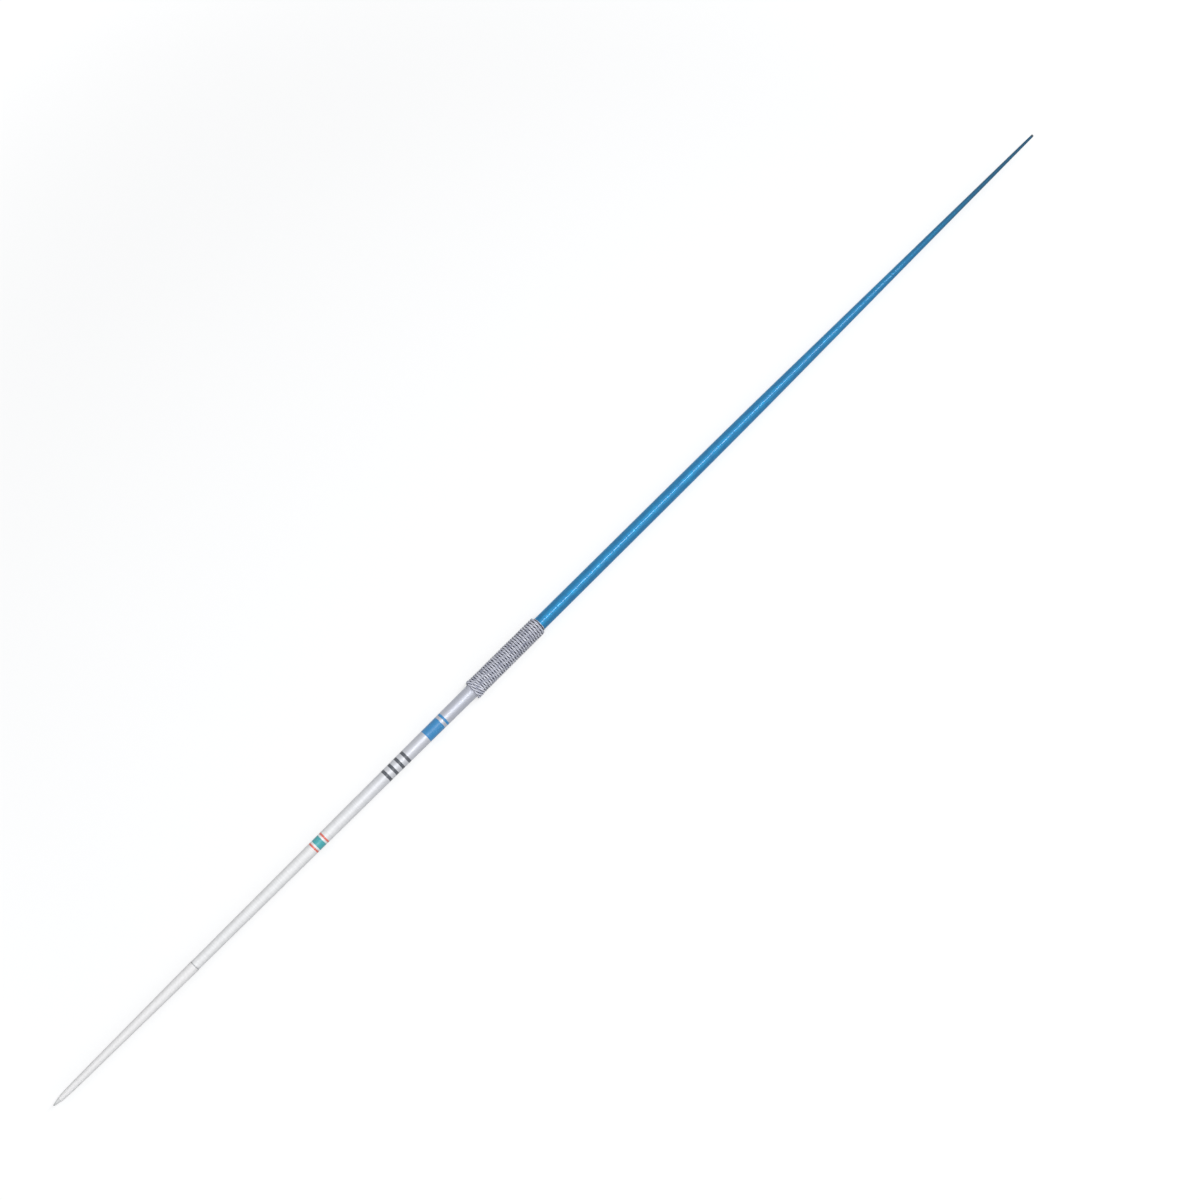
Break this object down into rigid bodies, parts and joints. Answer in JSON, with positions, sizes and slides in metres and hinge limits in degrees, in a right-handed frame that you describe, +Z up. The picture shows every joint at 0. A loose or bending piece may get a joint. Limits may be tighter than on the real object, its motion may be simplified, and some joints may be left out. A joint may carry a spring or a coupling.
{
  "type": "javelin",
  "caption": "Throwing javelin with a pointed steel head, a long tapered metal shaft in silver and blue, a cord-wound grip and a thin plugged tail.",
  "frame": {"origin": "under the middle of the javelin's length, at the height of the ground that its grip lies on", "axes": "+X along the javelin from its point to its tail, +Z up"},
  "size_m": [2.25, 0.0332, 0.0317],
  "materials": {
    "hardened_steel": "fine-turned bright steel, hardened",
    "turned_steel": "fine-turned bright steel",
    "dark_steel": "plain turned steel, unseen",
    "satin_aluminium": "satin silver anodised tube with fine cross hatching",
    "plain_aluminium": "plain drawn tube, unseen",
    "blue_anodised": "glossy blue anodised tube",
    "grey_plastic": "dark grey moulded plastic",
    "pale_tape": "pale cloth tape",
    "grey_cord": "bluish silver-grey twisted cord"
  },
  "bodies": {
    "root": {"head_tip": "hardened_steel", "head": "turned_steel", "balance_plug": "dark_steel", "front_shaft": "satin_aluminium", "joint_sleeve": "plain_aluminium", "rear_shaft": "blue_anodised", "tail_plug": "grey_plastic", "grip_tape": "pale_tape", "grip_cord": "grey_cord"}
  },
  "joints": []
}
